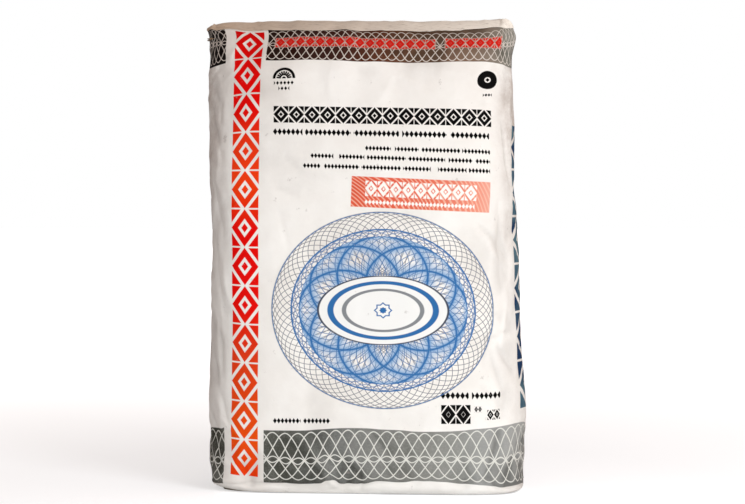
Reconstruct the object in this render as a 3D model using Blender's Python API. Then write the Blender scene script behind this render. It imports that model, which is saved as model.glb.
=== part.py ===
"""A filled 50 kg cement bag: a pasted valve sack of kraft paper, standing on its block bottom.

Metres, +Z up. The origin is on the floor under the middle of the bag, and the printed front faces -Y.
The paper is a tube folded and pasted square at both ends. Its wall is thin, the cement fills it nearly
to the top, a flat valve sleeve comes out of the top left corner, and a cover sheet is pasted on each end.
"""

import math

import bmesh
import bpy
import numpy as np

# Driving dimensions
PAPER = 0.0005  # the sack's wall, four plies pressed together
GAP = 0.0003  # kept between pieces that touch
COVER_SHEET = 0.0005  # the sheets pasted on the ends
COVER_MARGIN = 0.009  # from the edge of the bottom to its cover sheet
SLEEVE = 0.001  # the valve sleeve, pressed flat
SLEEVE_LIP = 0.003  # how far the sleeve stands out of the corner
SLEEVE_INSIDE = 0.095  # how far it reaches inwards from the wall
SLEEVE_HEIGHT = 0.5935  # the section at which it comes out
FILL_HEIGHT = 0.575  # the level top of the cement, with a headspace over it
LEAN = 0.0066  # the top sits this far to the left of the base
RISE_RIGHT = 0.001  # the ridge's right end stands this much higher
VALVE_SAG = 0.002  # and its left end, over the valve, this much lower

POINTS = 64  # round each section
VALVE_COLUMNS = slice(POINTS // 2 - 2, POINTS // 2 + 3)  # the points that the valve's slit spans
SOLE = COVER_SHEET + GAP  # height of the sack's own bottom
LEAN_START = 0.050  # the base doesn't lean below this height
LEAN_END = 0.560  # and the bag is upright again over this one
VALVE_CORNER = 0.180  # the corner over the valve sags from here outwards
VALVE_CORNER_END = 0.200  # and is down by its full sag here
SHOULDER_START = 0.520  # heights over this follow the ridge's slant
COVER_START = 0.598  # the top cover sheet lies on the roof from here up

# The tube's outline: height, half width, half depth, squareness of the sides and of the faces
SECTIONS = (
    (SOLE, 0.1985, 0.0630, 6.8, 3.0),
    (0.0035, 0.2035, 0.0675, 6.5, 2.9),
    (0.0090, 0.2055, 0.0715, 6.1, 2.7),
    (0.0240, 0.2068, 0.0760, 5.7, 2.4),
    (0.0620, 0.2088, 0.0795, 5.4, 2.1),
    (0.1150, 0.2086, 0.0805, 5.3, 2.0),
    (0.1800, 0.2060, 0.0805, 5.3, 2.0),
    (0.2500, 0.2030, 0.0795, 5.5, 2.0),
    (0.3400, 0.2008, 0.0785, 5.8, 2.0),
    (0.4400, 0.2005, 0.0765, 6.0, 2.0),
    (0.5100, 0.2007, 0.0742, 6.0, 2.0),
    (0.5400, 0.2012, 0.0700, 6.2, 2.0),
    (0.5615, 0.2018, 0.0630, 6.4, 2.0),
    (0.5795, 0.2020, 0.0490, 6.7, 2.0),
    (0.5915, 0.2018, 0.0370, 7.0, 2.0),
    (COVER_START, 0.2010, 0.0290, 7.2, 2.0),
    (0.6045, 0.2000, 0.0200, 7.6, 2.0),
    (0.6100, 0.1975, 0.0110, 8.0, 2.0),
    (0.6130, 0.1925, 0.0045, 8.0, 2.0),
)
RIDGE = SECTIONS[-1][0]
SECTION_STEP = 0.045  # no two sections of the tube are further apart than about this

SACK_COLOUR = (0.86, 0.83, 0.78)
CEMENT_COLOUR = (0.42, 0.42, 0.40)
COVER_COLOUR = (0.80, 0.74, 0.65)
SLEEVE_COLOUR = (0.62, 0.48, 0.34)


def clear_scene():
    for thing in list(bpy.data.objects):
        bpy.data.objects.remove(thing, do_unlink=True)


def paper_material(name, colour, roughness):
    material = bpy.data.materials.new(name)
    material.use_nodes = True
    shader = material.node_tree.nodes["Principled BSDF"]
    shader.inputs["Base Color"].default_value = (*colour, 1.0)
    shader.inputs["Roughness"].default_value = roughness
    shader.inputs["Metallic"].default_value = 0.0
    return material


def smooth(start, end, value):
    """0 before start, 1 after end, and an S curve between them."""
    share = np.clip((value - start) / (end - start), 0.0, 1.0)
    return share * share * (3.0 - 2.0 * share)


def section_at(height):
    """Half width, half depth and the two squarenesses of the tube at a height."""
    columns = np.array(SECTIONS).T
    return [float(np.interp(height, columns[0], row)) for row in columns[1:]]


def outline(height, grown):
    """A section's points, grown outwards, evenly spaced along |x/a|^n + |y/b|^m = 1 from the right."""
    half_width, half_depth, side_power, face_power = section_at(height)
    turn = np.linspace(0.0, 2.0 * math.pi, 4001)
    cosine, sine = np.cos(turn), np.sin(turn)
    x = (half_width + grown) * np.sign(cosine) * np.abs(cosine) ** (2.0 / side_power)
    y = (half_depth + grown) * np.sign(sine) * np.abs(sine) ** (2.0 / face_power)
    length = np.concatenate([[0.0], np.cumsum(np.hypot(np.diff(x), np.diff(y)))])
    stops = np.linspace(0.0, length[-1], POINTS, endpoint=False)
    return np.column_stack([np.interp(stops, length, x), np.interp(stops, length, y)])


def ring_at(height, grown=0.0, lift=0.0):
    """A section in its place: leaning with the bag and following the ridge's slant."""
    flat = outline(height, grown)
    x = flat[:, 0] - LEAN * smooth(LEAN_START, LEAN_END, height)
    slant = RISE_RIGHT * x / SECTIONS[-1][1]
    slant = slant - VALVE_SAG * smooth(VALVE_CORNER, VALVE_CORNER_END, -x)
    z = height + lift + slant * smooth(SHOULDER_START, RIDGE, height)
    return np.column_stack([x, flat[:, 1], z])


def tube_heights(extra=()):
    """Heights of the sections, with more between those that lie far apart."""
    marks = sorted({section[0] for section in SECTIONS} | set(extra))
    heights = []
    for low, high in zip(marks, marks[1:]):
        parts = max(1, round((high - low) / SECTION_STEP))
        heights += [low + (high - low) * step / parts for step in range(parts)]
    return heights + [marks[-1]]


def skin(bm, rings):
    """Lofts rings of equal count into side walls and returns the rings' vertices."""
    lofted = [[bm.verts.new(point) for point in ring] for ring in rings]
    for low, high in zip(lofted, lofted[1:]):
        for here in range(POINTS):
            there = (here + 1) % POINTS
            bm.faces.new((low[here], low[there], high[there], high[here]))
    return lofted


def closed_body(rings):
    """A closed body lofted through rings, from the first, which closes it, to the last."""
    bm = bmesh.new()
    lofted = skin(bm, rings)
    bm.faces.new(reversed(lofted[0]))
    bm.faces.new(lofted[-1])
    bmesh.ops.recalc_face_normals(bm, faces=bm.faces)
    return bm


def finish(name, bm, material):
    """Cuts the faces along their short diagonals, so that sheets which touch have the same facets."""
    bmesh.ops.triangulate(bm, faces=bm.faces, quad_method="SHORT_EDGE")
    mesh = bpy.data.meshes.new(name)
    bm.to_mesh(mesh)
    bm.free()
    mesh.shade_smooth()
    mesh.set_sharp_from_angle(angle=math.radians(35))
    mesh.materials.append(material)
    thing = bpy.data.objects.new(name, mesh)
    bpy.context.scene.collection.objects.link(thing)
    return thing


def build_sack(slit_low, slit_high):
    """The paper: one skin with the valve's slit cut out of it, given its thickness inwards."""
    bm = bmesh.new()
    heights = tube_heights((slit_low, slit_high))
    lofted = skin(bm, [ring_at(height) for height in heights])
    bm.faces.new(reversed(lofted[0]))
    bm.faces.new(lofted[-1])
    bmesh.ops.recalc_face_normals(bm, faces=bm.faces)
    low = heights.index(slit_low)
    rim = {lofted[row][column] for row in (low, low + 1) for column in range(POINTS)[VALVE_COLUMNS]}
    slit = [face for face in bm.faces if set(face.verts) <= rim]
    bmesh.ops.delete(bm, geom=slit, context="FACES_ONLY")
    sack = finish("paper_sack", bm, paper_material("printed_kraft_paper", SACK_COLOUR, 0.6))
    wall = sack.modifiers.new("wall", "SOLIDIFY")
    wall.thickness = PAPER
    wall.offset = -1.0
    wall.use_even_offset = True
    return sack


def build_fill():
    """The cement, a settled mass whose level top is drawn in as far as the sagging corner asks."""
    inset = PAPER + GAP + 0.0002
    rings = []
    for height in tube_heights():
        if height < FILL_HEIGHT - 0.004:
            lift = inset * (1.0 - smooth(SOLE, LEAN_START, height))
            rings.append(ring_at(height, -inset, lift))
    rings.append(ring_at(FILL_HEIGHT + RISE_RIGHT + VALVE_SAG, -inset))
    rings[-1][:, 2] = FILL_HEIGHT
    return finish("cement_fill", closed_body(rings), paper_material("cement", CEMENT_COLOUR, 0.95))


def build_top_cover():
    """The cover sheet of the top end, bent over the roof that it is pasted on."""
    heights = [height for height in tube_heights() if height >= COVER_START]
    seat = 1.2 * GAP
    under = [ring_at(height, seat, seat) for height in heights]
    over = [ring_at(height, seat + COVER_SHEET, seat + COVER_SHEET) for height in heights]
    body = closed_body(list(reversed(under)) + over)
    return finish("top_cover_sheet", body, paper_material("plain_paper", COVER_COLOUR, 0.7))


def build_bottom_cover():
    """The cover sheet of the bottom, on which the bag stands."""
    flat = outline(SOLE, -COVER_MARGIN)
    rings = [np.column_stack([flat, np.full(POINTS, height)]) for height in (0.0, COVER_SHEET)]
    return finish("bottom_cover_sheet", closed_body(rings), paper_material("sole_paper", COVER_COLOUR, 0.7))


def build_sleeve(middle):
    """The valve sleeve: a flat strip whose outer end follows the corner's curve and stands proud of it."""
    wall = ring_at(SLEEVE_HEIGHT)[VALVE_COLUMNS]
    half_sleeve = float(np.abs(wall[:, 1]).max()) - 0.0015
    across = np.linspace(half_sleeve, -half_sleeve, 9)
    order = np.argsort(wall[:, 1])
    lip = np.interp(across, wall[order, 1], wall[order, 0]) - SLEEVE_LIP
    inner = float(wall[:, 0].min()) + SLEEVE_INSIDE
    edge = [(x, y) for x, y in zip(lip, across)] + [(inner, -half_sleeve), (inner, half_sleeve)]
    bm = bmesh.new()
    base = bm.faces.new([bm.verts.new((x, y, middle - 0.5 * SLEEVE)) for x, y in edge])
    grown = bmesh.ops.extrude_face_region(bm, geom=[base])
    top = [part for part in grown["geom"] if isinstance(part, bmesh.types.BMVert)]
    bmesh.ops.translate(bm, verts=top, vec=(0.0, 0.0, SLEEVE))
    bmesh.ops.recalc_face_normals(bm, faces=bm.faces)
    return finish("valve_sleeve", bm, paper_material("brown_kraft_paper", SLEEVE_COLOUR, 0.8))


def build():
    clear_scene()
    slit_low = SLEEVE_HEIGHT - 0.5 * SLEEVE - GAP - 0.0003
    slit_high = SLEEVE_HEIGHT + 0.5 * SLEEVE + GAP + 0.0006
    middle = float(ring_at(SLEEVE_HEIGHT)[POINTS // 2, 2])
    build_sack(slit_low, slit_high)
    build_fill()
    build_top_cover()
    build_bottom_cover()
    build_sleeve(middle)


build()
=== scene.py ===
"""A filled 50 kg cement bag of printed kraft paper, standing on a pale studio floor.

Metres, +Z up, the printed front faces -Y. Distances round the sack are called u, from the middle of the
front to the right, and distances up its paper are called v, from the edge of the sole to the ridge.
"""
import math
from functools import partialmethod, reduce

import bpy
import numpy as np
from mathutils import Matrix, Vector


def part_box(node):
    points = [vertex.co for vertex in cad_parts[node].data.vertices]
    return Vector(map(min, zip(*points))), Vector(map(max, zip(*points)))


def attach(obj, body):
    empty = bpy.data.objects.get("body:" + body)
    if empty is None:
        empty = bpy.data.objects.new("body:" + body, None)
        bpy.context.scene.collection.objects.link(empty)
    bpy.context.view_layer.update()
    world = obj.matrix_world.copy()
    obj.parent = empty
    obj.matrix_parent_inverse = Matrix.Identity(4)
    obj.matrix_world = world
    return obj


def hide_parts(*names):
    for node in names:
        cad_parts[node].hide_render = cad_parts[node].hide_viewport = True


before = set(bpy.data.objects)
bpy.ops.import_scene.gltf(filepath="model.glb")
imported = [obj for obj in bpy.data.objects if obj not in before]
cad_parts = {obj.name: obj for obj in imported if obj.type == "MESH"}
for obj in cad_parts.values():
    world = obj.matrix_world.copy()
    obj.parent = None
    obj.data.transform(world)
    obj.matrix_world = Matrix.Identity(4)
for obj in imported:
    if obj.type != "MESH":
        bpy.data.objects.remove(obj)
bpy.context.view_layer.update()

# The sack's sections: height, half width and half depth in millimetres, squareness of sides and faces
SECTIONS = np.array((
    (0.8, 198.5, 63, 6.8, 3), (3.5, 203.5, 67.5, 6.5, 2.9), (9, 205.5, 71.5, 6.1, 2.7),
    (24, 206.8, 76, 5.7, 2.4), (62, 208.8, 79.5, 5.4, 2.1), (115, 208.6, 80.5, 5.3, 2),
    (180, 206, 80.5, 5.3, 2), (250, 203, 79.5, 5.5, 2), (340, 200.8, 78.5, 5.8, 2),
    (440, 200.5, 76.5, 6, 2), (510, 200.7, 74.2, 6, 2), (540, 201.2, 70, 6.2, 2),
    (561.5, 201.8, 63, 6.4, 2), (579.5, 202, 49, 6.7, 2), (591.5, 201.8, 37, 7, 2), (598, 201, 29, 7.2, 2),
    (604.5, 200, 20, 7.6, 2), (610, 197.5, 11, 8, 2), (613, 192.5, 4.5, 8, 2),
)) / (1000.0, 1000.0, 1000.0, 1.0, 1.0)
SOLE = SECTIONS[0, 0]
RIDGE = SECTIONS[-1, 0]
ROUND = 1.0  # the paper tube's girth
QUARTER = 0.25 * ROUND
TURN = 2.0 * math.pi / ROUND
COLUMNS = 440
ROWS = 213
STRAIGHT = 0.185  # the ends take up the girth beyond this distance from the middle of a face

# The standing sack isn't quite even: its upper part leans to the left between two heights, its ridge rises
# to the right, and the valve's corner sags
LEAN, LEAN_FROM, LEAN_TO = 0.0066, 0.05, 0.56
RISE_RIGHT = 0.001
VALVE_SAG, SAG_FROM, SAG_TO = 0.002, 0.18, 0.2
UNEVEN_FROM = 0.52


def smooth(start, end, value):
    """0 before start, 1 after end, and an S curve between them."""
    share = np.clip((value - start) / (end - start), 0.0, 1.0)
    return share * share * (3.0 - 2.0 * share)


def stretch(marks, at):
    """The stretch between two marks that each value lies in, by number, and how far along it."""
    here = np.clip(np.searchsorted(marks, at, side="right") - 1, 0, len(marks) - 2)
    return here, (at - marks[here]) / (marks[here + 1] - marks[here])


def through(marks, values, at):
    """A smooth curve through marks that doesn't overshoot.

    Each stretch is a cubic. Its slope at a mark is the harmonic mean of the two stretches' own slopes, or
    level where they differ in sign.
    """
    marks = np.asarray(marks, float)
    values = np.asarray(values, float)
    steep = np.diff(values) / np.diff(marks)
    before, after = steep[:-1], steep[1:]
    same = before * after > 0
    inner = np.where(same, 2.0 * before * after / np.where(same, before + after, 1.0), 0.0)
    slope = np.concatenate([steep[:1], inner, steep[-1:]])
    here, t = stretch(marks, np.clip(at, marks[0], marks[-1]))
    width = marks[here + 1] - marks[here]
    return (
        values[here] * (1 + 2 * t) * (1 - t) ** 2
        + slope[here] * width * t * (1 - t) ** 2
        + values[here + 1] * t * t * (3 - 2 * t)
        + slope[here + 1] * width * t * t * (t - 1)
    )


def section_corner(height, distance):
    """x and y on one quarter of a section, at a distance along it from the middle of the front.

    The quarter is x = a sin(t)^(2/n), y = b cos(t)^(2/m), walked by its own length.
    """
    half_width, half_depth, side_power, face_power = (
        float(through(SECTIONS[:, 0], SECTIONS[:, k], np.array([height]))[0]) for k in range(1, 5)
    )
    t = 0.5 * np.pi * np.linspace(0.0, 1.0, 1500) ** 3
    x = half_width * np.sin(t) ** (2.0 / side_power)
    y = half_depth * np.clip(np.cos(t), 0.0, 1.0) ** (2.0 / face_power)
    length = np.concatenate([[0.0], np.cumsum(np.hypot(np.diff(x), np.diff(y)))])
    packed = STRAIGHT + (distance - STRAIGHT) * (length[-1] - STRAIGHT) / (QUARTER - STRAIGHT)
    walked = np.where(distance < STRAIGHT, distance, packed)
    return np.interp(walked, length, x), np.interp(walked, length, y)


def from_middle(u):
    """Distance round the sack from the middle of the nearer face."""
    return np.where(np.abs(u) <= QUARTER, np.abs(u), 2.0 * QUARTER - np.abs(u))


def column_places():
    """u of the sack's columns, with the first one's twin at the end."""
    return ROUND * (np.arange(COLUMNS + 1) / COLUMNS - 0.5)


def sack_frame():
    """The undented sack as a table: heights, the u of its columns, and a point for each pair of them."""
    heights = np.concatenate([
        np.linspace(SOLE, 0.05, 90)[:-1],
        np.linspace(0.05, 0.53, 160)[:-1],
        np.linspace(0.53, RIDGE, 160),
    ])
    u = column_places()
    corner = np.array([section_corner(height, from_middle(u)) for height in heights])
    x = corner[:, 0] * np.sign(u)
    y = corner[:, 1] * np.where(np.abs(u) <= QUARTER, -1.0, 1.0)
    z = heights[:, None] * np.ones_like(x)
    x = x - LEAN * smooth(LEAN_FROM, LEAN_TO, z)
    slant = RISE_RIGHT * x / SECTIONS[-1, 1] - VALVE_SAG * smooth(SAG_FROM, SAG_TO, -x)
    z = z + slant * smooth(UNEVEN_FROM, RIDGE, z)
    return heights, u, np.stack([x, y, z], axis=-1)


def bell(value, width):
    """1 at zero, falling away on both sides over about the width."""
    return np.exp(-((value / width) ** 2))


def fold(u, v, start, end, width, depth):
    """A fold in the paper along a line between two places on it, a groove where depth is negative.

    Its depth falls away across the line as 1/(1 + (d/width)^2)^1.5, which leaves a fairly sharp bottom, and
    along it as the square root of a parabola that is zero at both ends.
    """
    along = end - start
    reach = float(np.hypot(*along))
    t = ((u - start[0]) * along[0] + (v - start[1]) * along[1]) / reach ** 2
    off = ((u - start[0]) * along[1] - (v - start[1]) * along[0]) / reach
    taper = np.sqrt(np.clip(4.0 * t * (1.0 - t), 0.0, 1.0))
    return depth * taper / (1.0 + (off / width) ** 2) ** 1.5


def scattered_folds(u, v, seed, count, place, lengths, slopes, widths, depths):
    """Folds with random places, lengths, slopes, widths and depths, each drawn from its range."""
    rng = np.random.default_rng(seed)
    total = np.zeros(np.broadcast_shapes(u.shape, v.shape))
    for _ in range(count):
        middle = rng.uniform(place[0], place[1])
        slope = np.radians(rng.uniform(*slopes))
        half = 0.5 * rng.uniform(*lengths) * np.array([np.cos(slope), np.sin(slope)])
        width, depth = rng.uniform(*widths), rng.uniform(*depths)
        total = total + fold(u, v, middle - half, middle + half, width, depth)
    return total


def rolling(u, v, seed, waves, longest, shortest):
    """Soft random swell: many cosines with random directions and phases, whole periods round the girth."""
    rng = np.random.default_rng(seed)
    total = np.zeros(np.broadcast_shapes(u.shape, v.shape))
    for _ in range(waves):
        length = np.exp(rng.uniform(np.log(shortest), np.log(longest)))
        turn = rng.uniform(0.0, np.pi)
        round_count = np.round(np.cos(turn) * ROUND / length)
        up_count = np.sin(turn) / length
        phase = rng.uniform(0.0, 2 * np.pi)
        total = total + np.cos(2 * np.pi * (round_count * u / ROUND + up_count * v) + phase)
    return total / np.sqrt(0.5 * waves)


# Folds that the front shows, in millimetres: from u, v to u, v, then width and depth
FRONT_FOLDS = np.array((
    (-101, 76, -48, 24, 4, -3), (-72, 70, -33, 33, 5, 2), (-50, 33, -33, 12, 4, 2.6),
    (-30, 56, 2, 26, 4, -2.6), (-18, 62, 10, 33, 5, 1.2), (12, 88, 39, 57, 4.5, -2.4),
    (24, 56, 42, 30, 4.5, -2), (56, 83, 64, 50, 5, -1.6), (-8, 30, -24, 10, 4, -2),
    (50, 46, 70, 16, 5, -1.6), (90, 50, 74, 10, 5.5, 1.2), (126, 60, 146, 16, 6, -1.6),
    (180, 90, 156, 20, 6, -2), (206, 60, 186, 8, 5, -2), (-206, 90, -188, 16, 6, -2),
    (-116, 50, -96, 12, 5, -1.4), (-206, 545, -180, 505, 5, -1.6), (-214, 515, -190, 455, 6, -2),
    (-196, 480, -178, 430, 5, -1.4), (-218, 450, -176, 380, 7, 1.6), (-204, 420, -188, 350, 5, -1.8),
    (-190, 390, -180, 330, 4.5, -1.2), (-216, 350, -186, 290, 5.5, -1.6), (-200, 310, -182, 230, 6, -1.6),
    (-218, 250, -190, 210, 5, 1.4), (-196, 230, -184, 150, 5.5, -1.6), (-216, 190, -188, 120, 6, -1.4),
    (150, 356, 206, 306, 4, -2.6), (164, 328, 199, 288, 4, 1.4), (183, 390, 188, 260, 5, -2),
    (156, 206, 212, 215, 3.2, -2.6), (176, 198, 208, 156, 3.4, -2.4), (166, 190, 188, 129, 3.6, -2.2),
    (199, 260, 183, 190, 4, 1.8), (190, 500, 206, 420, 4.5, -2.2), (196, 445, 214, 395, 4, -2),
    (170, 230, 156, 170, 4, -1.4), (148, 150, 190, 110, 4.5, -1.4), (-95, 440, -70, 418, 4, -1),
    (-105, 400, -74, 388, 4, -1.2), (-102, 370, -90, 320, 4, -1), (185, 10, 220, 15, 3, -1.6),
    (-30, 560, 30, 548, 10, -1), (60, 566, 140, 552, 10, -1.2), (-190, 590, -120, 520, 7, -1.4),
    (200, 590, 150, 520, 8, -1.6), (10, 640, 2, 560, 12, -1.2), (110, 640, 118, 570, 10, 1.2),
    (-190, 635, -162, 633, 1.4, -2.2),
)) / 1000.0

# Small folds scattered round the sack: seed, count, lowest and highest middle, lengths, slopes in degrees,
# widths and depths
SCATTERED_FOLDS = (
    (11, 46, ((-0.49, 0.01), (0.49, 0.05)), (0.02, 0.06), (60, 120), (0.003, 0.006), (-0.0016, 0.0006)),
    (12, 40, ((-0.49, 0.57), (0.49, 0.63)), (0.03, 0.07), (65, 115), (0.004, 0.008), (-0.0012, 0.0006)),
    (13, 70, ((-0.27, 0.06), (-0.175, 0.56)), (0.02, 0.07), (25, 155), (0.0025, 0.005), (-0.0013, 0.0008)),
    (14, 70, ((0.175, 0.06), (0.27, 0.56)), (0.02, 0.07), (25, 155), (0.0025, 0.005), (-0.0013, 0.0008)),
    (15, 70, ((-0.5, 0.05), (0.5, 0.55)), (0.04, 0.16), (0, 180), (0.003, 0.006), (-0.0004, 0.0004)),
    (16, 14, ((-0.26, 0.03), (-0.2, 0.1)), (0.03, 0.08), (100, 140), (0.003, 0.005), (-0.0018, 0.0008)),
    (17, 14, ((0.2, 0.03), (0.26, 0.1)), (0.03, 0.08), (40, 80), (0.003, 0.005), (-0.0018, 0.0008)),
)

# Random swells: height, then seed, number of waves, longest and shortest wave
BROAD_SWELL = 0.0011, (3, 26, 0.3, 0.11)
FINE_SWELL = 0.00045, (5, 40, 0.09, 0.035)
CRUMPLE = 0.0011, (8, 30, 0.16, 0.05)
PINCHES = (21, 14, 0.3, 0.06)

# The crease under the low band: how far under its edge, depth and width, and the roll of paper below it
CREASE_UNDER, CREASE_DEPTH, CREASE_WIDTH = 0.0012, 0.0018, 0.002
ROLL_HEIGHT, ROLL_WIDTH = 0.0007, 0.004

# The sides' tucks: v of the tip, v of the wide end, and depth there. They fade out near the ridge
SIDE_TUCKS = ((0.49, 0.615, 0.006), (0.085, 0.004, 0.003))
TUCK_TIP, TUCK_SPREAD = 0.004, 0.048
TUCK_FADES = (0.575, 0.605)

# The back's pasted seam: u where it rises, u where it falls, and its height
SEAM_RISE, SEAM_FALL, SEAM_HEIGHT = (0.432, 0.434), (0.466, 0.472), 0.0008

# Edges of the print's bands across a face, as u and v in millimetres: the low band's lower and upper, and the
# top one's lower
LOW_BAND_LOWER = np.array((
    (-250, 7), (-230, 3.6), (-208, 4.2), (-186, 7.4), (-150, 15), (-121.7, 17.3), (-80, 15.7), (-54, 17.1),
    (-38, 23), (-27, 17.3), (0, 17.4), (23.7, 22.2), (49.4, 21.2), (75.2, 23.7), (100.7, 22.9),
    (126.2, 19.5), (151.8, 17.8), (171.4, 14.4), (184.8, 11.5), (208.9, 10.9), (250, 7),
)) / 1000.0
LOW_BAND_UPPER = np.array((
    (-250, 83), (-236.8, 78.8), (-214, 81.4), (-188, 83.6), (-166, 88), (-120.5, 87.1), (-78.9, 87.2),
    (-53, 89), (-1, 91.4), (24.3, 90), (50, 89.3), (75.5, 87.5), (100.9, 87.7), (126.4, 88.8),
    (152.1, 91.1), (172.8, 91.8), (195.3, 92.5), (211.8, 92.2), (250, 83),
)) / 1000.0
TOP_BAND_LOWER = np.array((
    (-250, 566.5), (-201.4, 568.5), (-181.6, 568.5), (-171.5, 567.9), (-115.6, 565.2), (-73.6, 564.3),
    (-47.6, 563.5), (-21.7, 561.7), (29.6, 560.8), (55.1, 560.1), (106.3, 560.6), (157.8, 560.6),
    (179.1, 561.9), (199.9, 563.8), (250, 566.5),
)) / 1000.0


def face_place(u):
    """u measured from the middle of whichever face it is on."""
    return u - 0.5 * ROUND * np.round(2.0 * u / ROUND)


def along_face(table, u):
    """A height from one of the tables above, the same on the front and the back."""
    return through(*table.T, face_place(u))


def swells(u, v):
    """Broad and fine swells, and crumples, which stand up along the zero lines of one more random swell."""
    ends = 1.0 - smooth(0.02, 0.14, v) * (1.0 - smooth(0.5, 0.6, v))
    side = bell(np.abs(u) - 0.2, 0.035)
    broad, fine, rough = (
        (height, rolling(u, v, *waves)) for height, waves in (BROAD_SWELL, FINE_SWELL, CRUMPLE)
    )
    out = broad[0] * broad[1]
    out = out + fine[0] * fine[1] * (0.55 + 0.45 * ends + 0.4 * side)
    return out - rough[0] * (0.5 + 0.5 * ends + 0.4 * side) * (np.minimum(np.abs(rough[1]), 0.9) - 0.5)


def dents(u, v):
    """How far the paper stands out of the plain sack, along its normal, from its folds and swells."""
    out = swells(u, v)
    for row in FRONT_FOLDS:
        out = out + fold(u, v, row[:2], row[2:4], *row[4:])
    for turned in (u - ROUND, u, u + ROUND):
        for folds in SCATTERED_FOLDS:
            out = out + scattered_folds(turned, v, *folds)
    pinch = np.clip(0.6 + 0.5 * rolling(u, v, *PINCHES), 0.1, 1.3)
    crease = along_face(LOW_BAND_LOWER, u) - CREASE_UNDER
    out = out - CREASE_DEPTH * pinch * bell(v - crease, CREASE_WIDTH) * smooth(0.0, 0.01, crease)
    out = out + ROLL_HEIGHT * bell(v - 0.6 * crease, ROLL_WIDTH)
    for middle in (-QUARTER, QUARTER):
        off = np.abs(u - middle)
        for tip, base, deep in SIDE_TUCKS:
            grown = np.clip((v - tip) / (base - tip), 0.0, 1.0)
            fading = 1.0 - smooth(*TUCK_FADES, v)
            half_width = TUCK_TIP + TUCK_SPREAD * grown
            out = out - deep * grown * fading * (1.0 - smooth(0.25, 1.0, off / half_width))
    seam = smooth(*SEAM_RISE, u) * (1.0 - smooth(*SEAM_FALL, u))
    return (out + SEAM_HEIGHT * seam) * smooth(0.0, 0.012, v)


def outward(points):
    """The unit normals of a closed round of points, from the steps between neighbours."""
    ahead = np.roll(points, -1, axis=1) - np.roll(points, 1, axis=1)
    up = np.gradient(points, axis=0)
    normal = np.cross(ahead, up)
    return normal / np.maximum(np.linalg.norm(normal, axis=2, keepdims=True), 1e-12)


# Shares of the rows, and the v that they reach: rows lie closer together near both ends
ROW_SHARES, ROW_REACHES = (0.0, 0.26, 0.7, 1.0), (0.0, 0.1, 0.54)
# At the side corners the paper lies low: v of its marks up to the top band's edge, and their heights there
PLAIN_UP_TO, BAND_EDGE_HEIGHT, BAND_MARK = 0.4, 0.5615, 0.05
CORNER_HEIGHTS = (0.551, 0.602)
# Where that dip begins and ends, from the middle of a face, on the left and on the right
LEFT_DIP, RIGHT_DIP = (0.13, 0.215), (0.158, 0.228)
# The left bottom corner stands off the floor, the right one is drawn out, and the ridge leans left
LEFT_LIFT, RIGHT_DRAW, RIDGE_SHIFT = 0.0054, 0.003, 0.0052


def between_rows(table, row, part):
    """Points or normals between a row of a table and the next one, at each column."""
    column, part = np.arange(COLUMNS)[None, :], part[:, :, None]
    return table[row, column] * (1 - part) + table[row + 1, column] * part


def sack_grid():
    """Points of the sack with u and v, rows up and columns round, the last column left open.

    Each row has one v. It keeps the table's own heights in the faces and lies lower at the side corners,
    because the ends' folds draw the paper down there and the print dips with it.
    """
    heights, u, table = sack_frame()
    middle_column = table[:, COLUMNS // 2]
    climbed = np.hypot(np.diff(middle_column[:, 1]), np.diff(middle_column[:, 2]))
    up = np.concatenate([[0.0], np.cumsum(climbed)])
    v = np.interp(np.linspace(0.0, 1.0, ROWS), ROW_SHARES, (*ROW_REACHES, up[-1]))
    middle = np.interp(v, up, heights)
    band_low = np.interp(BAND_EDGE_HEIGHT, heights, up)
    marks = [0.0, PLAIN_UP_TO, band_low, band_low + BAND_MARK, up[-1]]
    corner = through(marks, [SOLE, np.interp(PLAIN_UP_TO, up, heights), *CORNER_HEIGHTS, RIDGE], v)
    starts, ends = (np.where(u < 0.0, left, right) for left, right in zip(LEFT_DIP, RIGHT_DIP))
    share = smooth(starts, ends, from_middle(u))[None, :-1]
    height = middle[:, None] * (1 - share) + corner[:, None] * share
    points = between_rows(table, *stretch(heights, height))
    relief = dents(u[None, :-1], v[:, None])
    points = points + outward(points) * relief[:, :, None]
    low_down = 1.0 - smooth(0.0, 0.045, v)[:, None]
    left, right = smooth(0.13, 0.21, -points[:, :, 0]), smooth(0.15, 0.2, points[:, :, 0])
    points[:, :, 2] = np.maximum(points[:, :, 2] + LEFT_LIFT * low_down * left, SOLE)
    points[:, :, 0] -= RIDGE_SHIFT * smooth(0.588, 0.611, points[:, :, 2]) * (0.85 + 0.6 * left)
    points[:, :, 0] += RIGHT_DRAW * right * low_down * smooth(0.0, 0.006, v)[:, None]
    return points, u, v, relief


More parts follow.
